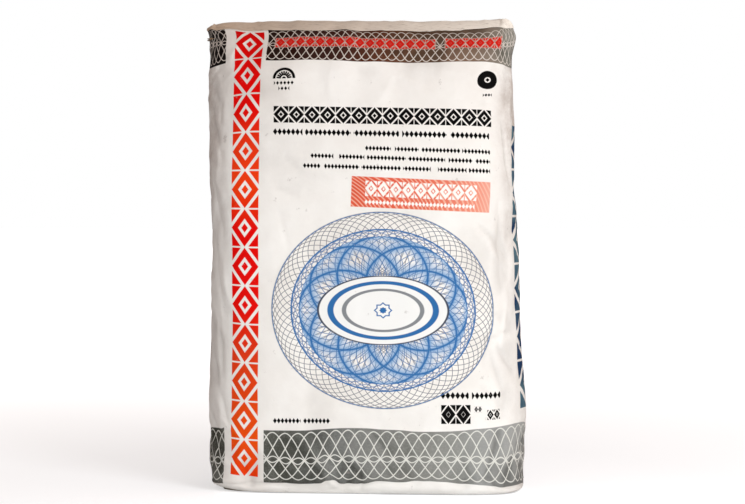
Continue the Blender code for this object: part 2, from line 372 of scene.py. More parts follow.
def round_mesh(name, points, u, v):
    """A closed mesh from rounds of points, zipped shut along the middle of its first and last round.

    The faces carry u and v as the map called paper.
    """
    rows, columns = points.shape[:2]
    index = np.arange(rows * columns).reshape(rows, columns)
    ahead = np.roll(index, -1, axis=1)
    walls = np.stack([index[:-1], ahead[:-1], ahead[1:], index[1:]], axis=-1).reshape(-1, 4)
    near = np.arange(columns // 4, 3 * columns // 4)
    far = (3 * columns // 2 - near) % columns
    far_next = (far - 1) % columns
    zipped = np.stack([near, near + 1, far_next, far], axis=-1)
    faces = np.concatenate([walls, index[-1][zipped], index[0][zipped[:, ::-1]]])
    shape = (rows - 1, columns, 4)
    wall_u = np.broadcast_to(np.stack([u[:-1], u[1:], u[1:], u[:-1]], axis=-1)[None], shape)
    wall_v = np.broadcast_to(np.stack([v[:-1], v[:-1], v[1:], v[1:]], axis=-1)[:, None], shape)
    last_u = np.stack([u[near], u[near + 1], u[near + 1], u[near]], axis=-1)
    face_u = np.concatenate([wall_u.reshape(-1, 4), last_u, last_u[:, ::-1]])
    last_v, first_v = (np.full(last_u.shape, height) for height in (v[-1], v[0]))
    face_v = np.concatenate([wall_v.reshape(-1, 4), last_v, first_v])
    kept = faces != np.roll(faces, -1, axis=1)
    mesh = bpy.data.meshes.new(name)
    mesh.from_pydata(points.reshape(-1, 3), [], [face[keep].tolist() for face, keep in zip(faces, kept)])
    mesh.shade_smooth()
    paper = np.stack([face_u, face_v], axis=-1)[kept]
    mesh.uv_layers.new(name="paper").data.foreach_set("uv", paper.reshape(-1))
    return mesh, face_u, face_v, kept


# The map for finished colours: the front's reach, the parts' scales and starts, and the two ends' strips
FRONT_REACH = 0.235
FRONT_SCALE, REST_SCALE, ENDS_SCALE = 1.34, 0.64, 1.9
MARGIN, REST_START, ENDS_START = 0.005, 0.655, 0.01
LAST_STRIP, FIRST_STRIP, STRIP_HEIGHT = 0.9, 0.95, 0.03


def lay_out(mesh, face_u, face_v, kept):
    """The map laid out for the finished colours: front, then sides and back, then the zipped ends."""
    number = np.arange(len(face_u))
    walls = len(face_u) - 2 * (COLUMNS // 2)
    middle = face_u.mean(axis=1)
    front = np.abs(middle) <= FRONT_REACH
    round_u = np.where(middle[:, None] < 0.0, face_u + ROUND, face_u)
    front_x = MARGIN + (face_u + FRONT_REACH) * FRONT_SCALE
    x = np.where(front[:, None], front_x, REST_START + (round_u - FRONT_REACH) * REST_SCALE)
    y = MARGIN + face_v * FRONT_SCALE
    ends = number >= walls
    strip = np.where(number < walls + COLUMNS // 2, LAST_STRIP, FIRST_STRIP)
    x = np.where(ends[:, None], ENDS_START + (face_u + QUARTER) * ENDS_SCALE, x)
    y = np.where(ends[:, None], strip[:, None] + np.array([0.0, 0.0, STRIP_HEIGHT, STRIP_HEIGHT]), y)
    flat = np.stack([x, y], axis=-1)[kept]
    mesh.uv_layers.new(name="OFBake").data.foreach_set("uv", flat.reshape(-1))


def add_object(name, data):
    thing = bpy.data.objects.new(name, data)
    bpy.context.scene.collection.objects.link(thing)
    return thing


def add_piece(mesh, material, slot, *stands_for):
    """An object for a mesh, in its material, that rides on the bag and stands for solids of it."""
    mesh.materials.append(material)
    piece = add_object(mesh.name, mesh)
    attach(piece, "root")
    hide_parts(*stands_for)
    return piece


def build_sack(points, u, v, relief):
    """The sack with its print's two maps, and its relief in millimetres as an attribute."""
    mesh, face_u, face_v, kept = round_mesh("printed_sack", points, u, v)
    lay_out(mesh, face_u, face_v, kept)
    worn = mesh.attributes.new("relief", "FLOAT", "POINT")
    worn.data.foreach_set("value", (relief * 1000.0).reshape(-1))
    sack = add_piece(mesh, printed_paper(), "printed_kraft_paper", "paper_sack", "cement_fill")


# The top cover sheet's edge, as u and v in millimetres, and the ripples along it
COVER_EDGE = np.array((
    (-500, 619), (-300, 621), (-250, 625), (-176, 623.1), (-118, 622.6), (-78, 618.4), (-25, 616.9),
    (80, 619.5), (130, 619.4), (156, 623.8), (182, 622.6), (211, 615.5), (250, 617), (300, 620), (500, 619),
)) / 1000.0
EDGE_RIPPLES, RIPPLE_HEIGHT = (17, 29, 53), 0.0012
COVER_ROWS, COVER_THICKNESS = 26, 0.0005
# How far the sheet stands off the sack, and how far its edge curls away, over what distance
COVER_GAP, CURL_HEIGHT, CURL_REACH = 0.00035, 0.0008, 0.004


def build_top_cover(points, u, v):
    """The top's cover sheet: the sack's own surface moved out, from a wavering edge over the ridge.

    Its rows are spread evenly between that edge and the ridge, and near the edge they stand off further.
    """
    rng = np.random.default_rng(31)
    edge = through(*COVER_EDGE.T, u[:-1])
    for count in EDGE_RIPPLES:
        edge = edge + RIPPLE_HEIGHT / count ** 0.5 * np.sin(TURN * count * u[:-1] + rng.uniform(0.0, 6.3))
    share = np.linspace(0.0, 1.0, COVER_ROWS)[:, None] ** 1.3
    wanted = edge + share * (v[-1] - edge)
    seat, away = (between_rows(table, *stretch(v, wanted)) for table in (points, outward(points)))
    curl = np.clip(rolling(u[None, :-1], np.zeros(1), 33, 18, 0.4, 0.04), 0.0, 2.0)
    lift = COVER_GAP + CURL_HEIGHT * curl * np.exp(-(wanted - edge) / CURL_REACH)
    inner, outer = (seat + away * height[:, :, None] for height in (lift, lift + COVER_THICKNESS))
    wall = np.concatenate([inner[::-1], outer])
    wall_v = np.concatenate([share[::-1, 0], share[:, 0]]) * (v[-1] - edge.mean()) + edge.mean()
    mesh = round_mesh("top_cover", wall, u, wall_v)[0]
    # The right-hand colour is painted light: the cover grows lighter towards the right
    browns_and_painted_light = {"light": (0.6, 0.455, 0.335), "dark": (0.47, 0.355, 0.26), "right": (0.98, 0.93, 0.84)}
    look = kraft("plain_paper_look", **browns_and_painted_light)
    add_piece(mesh, look, "plain_paper", "top_cover_sheet")


# Rounds of the sole's sheet: share of its reach, and height, from the middle of its lower face to the middle
# of its upper one
SOLE_ROUNDS = (
    (0.04, 0.0), (0.35, 0.0), (0.7, 0.0), (0.93, 0.0), (0.997, 0.0), (1.0, 0.0001),
    (1.0, 0.0004), (0.997, 0.0005), (0.93, 0.0005), (0.7, 0.0005), (0.35, 0.0005), (0.04, 0.0005),
)
SOLE_SIDE_POWER, SOLE_FACE_POWER = 6.8, 3.0


def squared(wave, power):
    """A sine or cosine drawn towards 1 and -1 by a power under 1."""
    return np.sign(wave) * np.abs(wave) ** power


def round_angles():
    """The angle of each column round a turned piece, starting at the back."""
    return TURN * (np.arange(COLUMNS) / COLUMNS - 0.5) - 0.5 * np.pi


def build_bottom_cover():
    """The sole's cover sheet: rounds of a squared oval from its middle out, over its edge and back.

    The oval is x = a cos(t)^(2/n), y = b sin(t)^(2/m), and its rim wavers by two sine waves.
    """
    low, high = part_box("bottom_cover_sheet")
    t = round_angles()
    x = 0.5 * (high[0] - low[0]) * squared(np.cos(t), 2 / SOLE_SIDE_POWER)
    y = 0.5 * (high[1] - low[1]) * squared(np.sin(t), 2 / SOLE_FACE_POWER)
    waver = 1.0 + 0.002 * np.sin(9 * t) + 0.0012 * np.sin(23 * t + 1.0)
    grown, z = (column[:, None] for column in np.array(SOLE_ROUNDS).T)
    wall = np.stack([x * waver * grown, y * waver * grown, z + 0.0 * x], axis=-1)
    mesh = round_mesh("bottom_cover", wall, column_places(), grown[:, 0])[0]
    look = kraft("sole_paper_look", light=(0.6, 0.5, 0.4), dark=(0.4, 0.33, 0.27))
    add_piece(mesh, look, "sole_paper", "bottom_cover_sheet")


# Rounds of the valve sleeve, from its inner end out to its lip and back into the mouth: distance in from the
# lip, half its opening, and share of its width
SLEEVE_ROUNDS = (
    (0.098, 0.0005, 1.0), (0.07, 0.0005, 1.0), (0.04, 0.0005, 1.0), (0.02, 0.00055, 1.0),
    (0.008, 0.0008, 1.0), (0.003, 0.0011, 1.0), (0.001, 0.00125, 1.0), (0.0, 0.0013, 0.998),
    (0.0, 0.0009, 0.985), (0.001, 0.00085, 0.98), (0.004, 0.0007, 0.98), (0.012, 0.0003, 0.97),
    (0.03, 0.0001, 0.97),
)
SLEEVE_HEIGHT = 0.5935
BOW_REACH = 0.09  # how far in from the lip the sleeve still follows the wall's curve


def build_sleeve():
    """The valve sleeve: a flat paper tube through the left wall, its mouth a little open.

    Its section is y = b cos(t)^0.5, z = c sin(t), and its lip follows the wall's own curve.
    """
    low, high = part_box("valve_sleeve")
    middle = 0.5 * (low + high)
    half = 0.5 * (high[1] - low[1])
    t = round_angles()
    inwards, opened, width = (column[:, None] for column in np.array(SLEEVE_ROUNDS).T)
    y = squared(np.cos(t), 0.5) * (width * half)
    z = middle[2] + opened * np.sin(t)
    wall_x, wall_y = section_corner(SLEEVE_HEIGHT, np.linspace(QUARTER, 0.215, 60))
    order = np.argsort(wall_y)
    bow = wall_x[0] - np.interp(np.abs(y), wall_y[order], wall_x[order])
    x = low[0] + inwards + bow * np.clip(1.0 - inwards / BOW_REACH, 0.0, 1.0)
    mesh = round_mesh("valve_mouth", np.stack([x, y, z], axis=-1), column_places(), inwards[:, 0])[0]
    look = kraft("brown_kraft_look", light=(0.4, 0.27, 0.16), dark=(0.31, 0.2, 0.115))
    add_piece(mesh, look, "brown_kraft_paper", "valve_sleeve")


class Field:
    """A number that varies over a surface: a shader node's output, with ordinary arithmetic."""

    def __init__(self, tree, socket):
        self.tree = tree
        self.socket = socket

    def made(self, operation, *others, clamp=False):
        """The outcome of a sum on this field, kept between 0 and 1 where clamp is set."""
        node = self.tree.nodes.new("ShaderNodeMath")
        node.operation = operation
        node.use_clamp = clamp
        for slot, value in zip(node.inputs, (self, *others)):
            feed(self.tree, slot, value)
        return Field(self.tree, node.outputs[0])

    __add__ = partialmethod(made, "ADD")
    __sub__ = partialmethod(made, "SUBTRACT")
    __mul__ = partialmethod(made, "MULTIPLY")
    __truediv__ = partialmethod(made, "DIVIDE")
    __abs__ = partialmethod(made, "ABSOLUTE")


def feed(tree, slot, value):
    """Links a field or a socket to a node's input, or sets the input to a number or a colour."""
    if isinstance(value, Field):
        value = value.socket
    if isinstance(value, bpy.types.NodeSocket):
        tree.links.new(value, slot)
    elif slot.type == "RGBA":
        slot.default_value = (*value, 1.0)
    else:
        slot.default_value = value


def feed_all(tree, node, **fed):
    """Feeds a node's inputs by name, with _ for a space, and gives the node back."""
    for name, value in fed.items():
        feed(tree, node.inputs[name.replace("_", " ")], value)
    return node


def new_node(tree, kind, **fed):
    return feed_all(tree, tree.nodes.new("ShaderNode" + kind), **fed)


def lesser(first, second):
    return first.made("MINIMUM", second)


def greater(first, second):
    return first.made("MAXIMUM", second)


def limited(field):
    """A field kept between 0 and 1."""
    return field.made("ADD", 0.0, clamp=True)


def rise(field, start, end):
    """0 before start, 1 after end, and a straight rise between."""
    return limited((field - start) / (end - start))


def patches(field, level, gain):
    """Patches where a field passes a level: 0 below it, rising above it by the gain, up to 1."""
    return (field - level).made("MULTIPLY", gain, clamp=True)


def stamp(distance, soft=0.0003):
    """Ink where a distance is negative: 1 inside, 0 outside, and a soft edge between."""
    return (distance * (-0.5 / soft)).made("ADD", 0.5, clamp=True)


def radius(x, y):
    """Distance from the place where both are nought."""
    return (x * x + y * y).made("SQRT")


def off_repeat(field, pitch=1.0):
    """Distance from the middle of the nearest of the equal stretches that a field is cut into."""
    return abs((field / pitch).made("FRACT") - 0.5) * pitch


def lozenge(x, y, half, size=1.0):
    """Distance to a solid diamond x/a + y/b = size, for x and y from nought up."""
    return (x / half[0] + y / half[1] - size) * (half[0] * half[1] / math.hypot(*half))


def beads(along, across, pitch, half):
    """Distance to a row of solid diamonds."""
    return lozenge(off_repeat(along, pitch), abs(across), half)


def border(along, across, pitch, half, stroke, core, gap):
    """Distance to a straight-edged border: open diamonds with cores, and triangles in the corners between."""
    x, y = off_repeat(along, pitch), abs(across)
    diamond = lozenge(x, y, half)
    line = lesser(abs(diamond + 0.5 * stroke) - 0.5 * stroke, lozenge(x, y, half, core))
    corner = greater(diamond * -1.0 + gap, x + (0.25 * gap - 0.5 * pitch))
    return greater(lesser(line, corner), y - half[1])


def between(field, start, end):
    """Distance to a stretch of a field, negative inside it."""
    return abs(field - 0.5 * (start + end)) - 0.5 * (end - start)


def border_from(along, start, end, across, motif):
    """Distance to a stretch of border between two places along it."""
    return greater(border(along - start, across, *motif), between(along, start, end))


def net(u, v, middle, reach, pitch, stroke):
    """One row of a band's net: the four curves v = reach times sine or cosine of one phase, both ways up."""
    phase = u * (0.5 * math.pi / pitch)
    height = abs(v - middle)
    sine, cosine = phase.made("SINE"), phase.made("COSINE")
    rise = reach * 0.5 * math.pi / pitch
    first = abs(height - abs(sine) * reach) / (cosine * cosine * rise ** 2 + 1.0).made("SQRT")
    second = abs(height - abs(cosine) * reach) / (sine * sine * rise ** 2 + 1.0).made("SQRT")
    return lesser(first, second) - 0.5 * stroke


# Limits that keep a wreath's sums finite: least distance from its middle, largest cosine, least sine
NEAREST, LARGEST_COSINE, LEAST_SINE = 0.001, 0.9999, 0.02


def lace(x, y, count, size, offset, stroke, soft=0.0003):
    """Ink of a wreath of circles, whose centres lie evenly round a ring.

    At a distance r from the wreath's middle, a circle is met at an angle s either side of its centre's
    direction, where cos s = (r^2 + offset^2 - size^2) / (2 r offset). So the lines are where the direction
    plus or minus s is a whole number of steps, and their width is kept by the slope of that sum.
    """
    r = greater(radius(x, y), NEAREST)
    direction = y.made("ARCTAN2", x)
    cosine = (r * r + (offset ** 2 - size ** 2)) / (r * (2.0 * offset))
    inside = stamp(abs(cosine) - 1.0, 0.002)
    cosine = greater(lesser(cosine, LARGEST_COSINE), -LARGEST_COSINE)
    swing = cosine.made("ARCCOSINE")
    slope = (r * r + (size ** 2 - offset ** 2)) / (r * r * (2.0 * offset))
    slope = slope / greater((cosine * cosine * -1.0 + 1.0).made("SQRT"), LEAST_SINE)
    steep = (slope * slope + (r * r).made("POWER", -1.0)).made("SQRT")
    step = 2.0 * math.pi / count
    first, second = (
        stamp(off_repeat(way / step + 0.5) * step / steep - 0.5 * stroke, soft)
        for way in (direction + swing, direction - swing)
    )
    return greater(first, second) * inside


BLACK_INK = (0.002, 0.0015, 0.0015)
# The bands' grounds across the face, from its left edge to its right one: their colour is print, and its
# darkening towards the left is painted shade. Here and in the other tables of shades, a row has a share of
# the way and then a colour, all in thousandths
BOTTOM_GROUND_SHADED_LEFT = np.array((
    (0, 36, 34, 27), (120, 58, 57, 45), (200, 88, 88, 74), (300, 108, 110, 94), (450, 148, 150, 140),
    (620, 155, 155, 138), (740, 235, 236, 216), (820, 300, 302, 288), (1000, 360, 362, 345),
)) / 1000.0
TOP_GROUND_SHADED_LEFT = np.array((
    (0, 2, 1, 1), (130, 3, 1, 1), (290, 16, 3, 1), (460, 38, 7, 3), (560, 105, 34, 17), (650, 165, 82, 48),
    (800, 205, 135, 96), (900, 235, 225, 190), (1000, 260, 255, 230),
)) / 1000.0
BAND_RUB = (0.5, 0.49, 0.46)
# Painted shade for the bands' dents
BAND_DENT_SHADE = (0.02, 0.02, 0.014)
# The bands: height, ground, the net's two rows as middle and reach, its pitch, stroke and white, and how
# strongly wear and grain rub it
LOW_NET, TOP_NET = ((0.0465, 0.0193), (0.0202, 0.015)), ((0.04, 0.0143), (0.0167, 0.0143))
LOW_BAND = (0.0685, BOTTOM_GROUND_SHADED_LEFT, LOW_NET, 0.0164, 0.0013, (0.7, 0.69, 0.635), 0.14, 0.28)
TOP_BAND = (0.08, TOP_GROUND_SHADED_LEFT, TOP_NET, 0.0111, 0.0011, (0.66, 0.6, 0.54), 0.015, 0.02)
NET_WANDER = 0.009
# The plain strip round the column, where the bands stop: slope, place at v = 0, half width
STRIP_SLOPE, STRIP_PLACE, STRIP_HALF = 0.016, -0.156, 0.0283

# Borders: pitch, half width and half height of a diamond, stroke, size of its core, gap to the corners
TOP_ROW = (0.01295, (0.0061, 0.0088), 0.0037, 0.28, 0.0017)
COLUMN = (0.04967, (0.0242, 0.0186), 0.0074, 0.25, 0.004)
LABEL_ROW = (0.0159, (0.0077, 0.0098), 0.0036, 0.2, 0.0022)
SIDE_COLUMN = (0.0632, (0.0302, 0.0395), 0.0115, 0.3, 0.006)

# The top row's two stretches, its height in the band, and its colours
TOP_ROW_STRETCHES = (-0.1079, 0.0993), (0.1122, 0.1885)
TOP_ROW_UP = 0.0318
TOP_ROW_RED = (0.62, 0.014, 0.008)
TOP_ROW_HALO = (0.62, 0.4, 0.34)

# The column's first and last v, its fall to the left down the paper, and its reds up the paper
COLUMN_SPAN = (0.024, 0.62)
COLUMN_SLOPE, COLUMN_PLACE = 0.02, -0.1543
COLUMN_REDS = np.array((
    (0, 740, 25, 3), (120, 790, 75, 3), (290, 720, 42, 8), (380, 780, 3, 1), (550, 780, 2, 1),
    (635, 860, 47, 3), (720, 800, 38, 6), (790, 750, 2, 1), (1000, 660, 1, 1),
)) / 1000.0
COLUMN_REDS_TO = 0.63

# The sides' columns: first and last v, distance of their middle lines from the front's, shift, and colours
SIDE_SPAN = (0.108, 0.4872)
SIDE_MIDDLE, SIDE_SHIFT = 0.268, 0.01
SIDE_BLUE, SIDE_RUB = (0.008, 0.034, 0.095), (0.1, 0.19, 0.22)

# Borders of the black print, the title's first: first and last u, height at u = 0, fall per metre, border
BLACK_BORDERS = (
    (-0.1076, 0.174, 0.4909, 0.0206, (0.02012, (0.0098, 0.0106), 0.0041, 0.26, 0.0018)),
    (0.1022, 0.1404, 0.1097, 0.0, (0.0191, (0.0091, 0.0121), 0.005, 0.28, 0.0016)),
    (0.145, 0.155, 0.116, 0.0, (0.005, (0.0024, 0.004), 0.0014, 0.28, 0.0016)),
    (0.1619, 0.1807, 0.1083, 0.0, (0.0094, (0.0045, 0.0064), 0.0023, 0.28, 0.0016)),
)
# Lines of small ornament: the same four, then half height
SMALL_LINES = (
    (-0.1082, 0.1705, 0.4684, 0.023, 0.0043),
    (0.0106, 0.1712, 0.4496, 0.033, 0.0033),
    (-0.0598, 0.1706, 0.4378, 0.036, 0.0033),
    (-0.0697, 0.1702, 0.425, 0.032, 0.0033),
    (-0.1137, -0.0399, 0.1003, -0.006, 0.0036),
    (0.1019, 0.1818, 0.1356, 0.015, 0.0046),
)
# Their beads' pitch and half width and a group's length, in half heights of the line; then a group's half
# share of its place, its start, and the swing of the groups' lengths
BEAD_PITCH, BEAD_HALF, GROUP = 1.36, 0.7, 14.0
GROUP_HALF_SHARE, GROUP_START, GROUP_SWING, GROUP_WAVE = 0.455, 0.35, 0.006, 95.0

# The fan: middle, radii of its rim, ribs and hub, and its rows of beads as shift along, drop and reach
FAN_PLACE = (-0.0938, 0.5395)
FAN_RIM, FAN_RIBS, FAN_HUB = (0.0112, 0.0148), (0.004, 0.01), 0.0026
RIB_COUNT, RIB_HALF = 9, 0.0011
FAN_BEADS = ((0.0012, 0.0058, 0.0132), (0.0, 0.013, 0.0072))
FAN_BEAD = (0.0048, (0.002, 0.0026))
# The disc: middle, width over height, slope, radius and half width of its ring, core, and row of beads
DISC_PLACE = (0.1684, 0.5371)
DISC_NARROW, DISC_SLOPE = 0.85, 0.143
DISC_RING, DISC_RING_HALF, DISC_CORE = 0.0078, 0.0042, 0.0026
DISC_DROP, DISC_BEAD, DISC_BEADS_REACH = 0.0195, (0.0036, (0.0018, 0.002)), 0.0054

# The label: middle, half sizes, lean of its ends and slope of its edges
LABEL_PLACE, LABEL_HALF = (0.0807, 0.3901), (0.089, 0.0195)
LABEL_LEAN, LABEL_SLOPE = -0.055, 0.0455
LABEL_TINTS = np.array((
    (0, 680, 95, 48), (250, 720, 105, 55), (600, 750, 160, 90), (900, 780, 260, 180), (1000, 780, 360, 280),
)) / 1000.0
LABEL_CURVES, LABEL_WHITE = (0.82, 0.5, 0.38), (0.9, 0.87, 0.82)
# Its rows: first and last x, and height over its middle; then the small row's pitch and half bead
LABEL_BORDER_LINE, LABEL_BEAD_LINE = (-0.0716, 0.0715, 0.0046), (-0.0716, 0.069, -0.0128)
LABEL_BEAD = (0.0046, (0.0022, 0.0031))

# The rosette's middle, its stretch up the paper, and its wreaths: number, radius and offset of the circles,
# stroke, soft edge, colour, strength
ROSETTE_PLACE, ROSETTE_SQUASH = (0.03, 0.2421), 1.143
BLUE, PALE_BLUE, GREY = (0.03, 0.14, 0.36), (0.22, 0.38, 0.6), (0.055, 0.065, 0.095)
WREATHS = (
    (72, 0.046, 0.098, 0.0008, 0.0003, GREY, 0.9),
    (8, 0.058, 0.05, 0.015, 0.0066, PALE_BLUE, 0.95),
    (48, 0.052, 0.066, 0.001, 0.0003, BLUE, 0.85),
    (8, 0.058, 0.05, 0.0026, 0.0009, BLUE, 1.0),
)
# Rings as radius and half width: two round the wreaths, and two in the oval
OUTER_RINGS = (0.143, 0.0005), (0.118, 0.0009)
OVAL_RINGS = ((0.0405, 0.0024), BLUE), ((0.03, 0.0017), (0.22, 0.23, 0.24))
OVAL_FLATNESS, OVAL_RIM, OVAL_INSIDE = 0.36, 0.0508, 0.0492
OVAL_WHITE = (0.84, 0.83, 0.8)
STAR_SIZE, STAR_LINE, STAR_CORE = 0.0085, 0.0008, 0.005


def layer(under, colour, ink):
    """A colour, or a colour socket, printed over what is under it where there is ink."""
    mix = new_node(ink.tree, "Mix")
    mix.data_type = "RGBA"
    for slot, value in ((0, ink), (6, under), (7, colour)):
        feed(ink.tree, mix.inputs[slot], value)
    return mix.outputs[2]


def shades(along, start, end, stops):
    """A colour that changes along a field, through stops given as share, red, green, blue."""
    span = new_node(along.tree, "MapRange", Value=along, From_Min=start, From_Max=end)
    ramp = new_node(along.tree, "ValToRGB", Fac=span.outputs[0])
    elements = ramp.color_ramp.elements
    while len(elements) < len(stops):
        elements.new(0.5)
    for element, (share, *colour) in zip(elements, stops):
        element.position = share
        element.color = (*colour, 1.0)
    return ramp.outputs[0]


def along_print(along, table):
    """The height field of a curve across a face, from a table of u and v."""
    (start, lowest), (end, highest) = table.min(axis=0), table.max(axis=0)
    node = new_node(along.tree, "FloatCurve", Value=(along - start) / (end - start))
    curve = node.mapping.curves[0]
    shares = (table - (start, lowest)) / (end - start, highest - lowest)
    for share in shares[1:-1]:
        curve.points.new(*share)
    for point, share in zip(curve.points, shares):
        point.location = share
    node.mapping.update()
    return Field(along.tree, node.outputs[0]) * (highest - lowest) + lowest


def object_place(tree):
    return new_node(tree, "TexCoord").outputs["Object"]


def noise(tree, scale, detail, rough=0.5, kind="FBM", stretch=None):
    """Random noise through space, drawn out along an axis where its stretch is under 1."""
    place = object_place(tree)
    if stretch:
        place = new_node(tree, "Mapping", Vector=place, Scale=stretch).outputs[0]
    texture = new_node(tree, "TexNoise", Vector=place, Scale=scale, Detail=detail, Roughness=rough)
    texture.noise_type = kind
    return Field(tree, texture.outputs[0])


def print_bands(tree, sheet, face, across, u, v, worn, dent_shade_mask):
    """The two dark bands with their nets of white lines, and a row of red diamonds along the top one. Their
    grounds darken towards the left and in dents, which is painted shade.

    Field up is the height over a band's lower edge. The low band is drawn out to the same height all along.
    """
    off_strip = stamp(abs(face - v * STRIP_SLOPE - STRIP_PLACE) * -1.0 + STRIP_HALF)
    lower, upper, top_lower = (
        along_print(face, table) for table in (LOW_BAND_LOWER, LOW_BAND_UPPER, TOP_BAND_LOWER)
    )
    low_up, top_up = (v - lower) / (upper - lower) * LOW_BAND[0], v - top_lower
    wander = (noise(tree, 17.0, 3.0) - 0.5) * NET_WANDER
    grain = patches(noise(tree, 420.0, 3.0, 0.8), 0.46, 3.0)
    for up, band in ((low_up, LOW_BAND), (top_up, TOP_BAND)):
        height, stops, rows, pitch, stroke, white, wear, grit = band
        inside = stamp(between(up, 0.0, height)) * off_strip
        # the ground's darkening towards the left is painted shade
        ground = shades(across, -QUARTER, QUARTER, stops)
        ground = layer(ground, BAND_RUB, worn * wear + grain * grit)
        # painted shade in the bands' dents
        ground = layer(ground, BAND_DENT_SHADE, dent_shade_mask * 0.55)
        sheet = layer(sheet, ground, inside)
        first, second = (
            net(u + shift, up + wander, *row, pitch, stroke) for shift, row in zip((0.0, pitch), rows)
        )
        sheet = layer(sheet, white, stamp(lesser(first, second)) * inside)
    first, second = TOP_ROW_STRETCHES
    row = border(face - first[0], top_up - TOP_ROW_UP, *TOP_ROW)
    row = greater(row, lesser(between(face, *first), between(face, *second)))
    sheet = layer(sheet, TOP_ROW_HALO, stamp(row - 0.0008, 0.0007) * 0.85)
    return layer(sheet, TOP_ROW_RED, stamp(row))


def small_line(face, v, start, end, height, fall, half):
    """Distance to a line of beads in groups of uneven length."""
    row = beads(face - start, v + face * fall - height, BEAD_PITCH * half, (BEAD_HALF * half, half))
    swung = (face - start) + (face * GROUP_WAVE).made("SINE") * GROUP_SWING
    groups = off_repeat(swung / (half * GROUP) + GROUP_START) - GROUP_HALF_SHARE
    return greater(greater(row, groups * (half * GROUP)), between(face, start, end))


def fan_mark(face, v):
    """Distance to a half disc of ribs and a rim, over two short rows of beads."""
    x, y = face - FAN_PLACE[0], v - FAN_PLACE[1]
    ring = radius(x, y)
    ribs = off_repeat(y.made("ARCTAN2", x) * (RIB_COUNT / math.pi)) * ring * (math.pi / RIB_COUNT)
    fan = lesser(between(ring, *FAN_RIM), greater(between(ring, *FAN_RIBS), ribs - RIB_HALF))
    fan = greater(lesser(fan, ring - FAN_HUB), y * -1.0)
    for shift, drop, reach in FAN_BEADS:
        fan = lesser(fan, greater(beads(x + shift, y + drop, *FAN_BEAD), abs(x) - reach))
    return fan


def disc_mark(face, v):
    """Distance to a disc with a diamond in its hole, over a short row of beads."""
    along = face - DISC_PLACE[0]
    x, y = along * DISC_NARROW, v - along * DISC_SLOPE - DISC_PLACE[1]
    disc = lesser(abs(radius(x, y) - DISC_RING) - DISC_RING_HALF, abs(x) + abs(y) - DISC_CORE)
    return lesser(disc, greater(beads(x, y + DISC_DROP, *DISC_BEAD), abs(x) - DISC_BEADS_REACH))


def print_lines(sheet, face, v):
    """The black ornament: a border where the title stands, rows of small beads, and small marks."""
    marks = [fan_mark(face, v), disc_mark(face, v)]
    marks += [small_line(face, v, *line) for line in SMALL_LINES]
    for start, end, height, fall, motif in BLACK_BORDERS:
        marks.append(border_from(face, start, end, v + face * fall - height, motif))
    return layer(sheet, BLACK_INK, stamp(reduce(lesser, marks)))


def label_curves(x, y):
    """Ink of fine curves that open to the right: rings round a point far to the left, bent by a wave."""
    far_x, far_y = x + 0.15, y + 0.052
    curve = (far_x * far_x + far_y * far_y * 2.2).made("SQRT") + (x * 85.0 + y * 40.0).made("SINE") * 0.003
    return stamp(off_repeat(curve / 0.0058) - 0.17, 0.09)


def print_label(sheet, face, v):
    """The slanting orange label: fine pale curves that open to the right, and two rows of white ornament."""
    along, up = face - LABEL_PLACE[0], v - LABEL_PLACE[1]
    x, y = along + up * LABEL_LEAN, up + along * LABEL_SLOPE
    label = greater(abs(x) - LABEL_HALF[0], abs(y) - LABEL_HALF[1])
    tint = shades(x, -LABEL_HALF[0], LABEL_HALF[0], LABEL_TINTS)
    tint = layer(tint, LABEL_CURVES, label_curves(x, y) * 0.75)
    start, end, height = LABEL_BORDER_LINE
    large = border_from(x, start, end, y - height, LABEL_ROW)
    start, end, height = LABEL_BEAD_LINE
    small = greater(beads(x - start, y - height, *LABEL_BEAD), between(x, start, end))
    tint = layer(tint, LABEL_WHITE, stamp(lesser(large, small)))
    return layer(sheet, tint, stamp(label))


def print_rosette(sheet, face, v):
    """The rosette: wreaths of fine circles in grey and blues, and a white oval with rings and a star."""
    x, y = face - ROSETTE_PLACE[0], (v - ROSETTE_PLACE[1]) * ROSETTE_SQUASH
    for count, size, offset, stroke, soft, colour, strength in WREATHS:
        sheet = layer(sheet, colour, lace(x, y, count, size, offset, stroke, soft) * strength)
    r = radius(x, y)
    outer, inner = (abs(r - reach) - half for reach, half in OUTER_RINGS)
    sheet = layer(sheet, BLUE, stamp(lesser(outer, inner)))
    oval = (x * x * OVAL_FLATNESS + y * y).made("SQRT")
    sheet = layer(sheet, GREY, stamp(oval - OVAL_RIM))
    sheet = layer(sheet, OVAL_WHITE, stamp(oval - OVAL_INSIDE))
    for (reach, half), colour in OVAL_RINGS:
        sheet = layer(sheet, colour, stamp(abs(oval - reach) - half))
    star = lesser(greater(abs(x), abs(y)), (abs(x) + abs(y)) * 0.7071) - STAR_SIZE
    line = abs(star + STAR_LINE) - STAR_LINE
    return layer(sheet, BLUE, stamp(lesser(line, star + STAR_CORE)))


def new_look(name, **fed):
    """A material by name, with its nodes and its main shader, whose inputs are fed by name."""
    material = bpy.data.materials.new(name)
    material.use_nodes = True
    tree = material.node_tree
    return material, tree, feed_all(tree, tree.nodes["Principled BSDF"], **fed)


# Colours of the sack's paper, from bare to dirty; the dent colour is painted shade in its dents, and the soil
# colour is partly painted shade
PAPER_SHADED, PAPER_BRIGHT = (0.8, 0.762, 0.715), (0.89, 0.865, 0.822)
STAIN, SOIL_AND_SHADE, DENT_SHADE, GRIME = (0.42, 0.37, 0.34), (0.3, 0.2, 0.15), (0.45, 0.42, 0.39), (0.36, 0.32, 0.29)


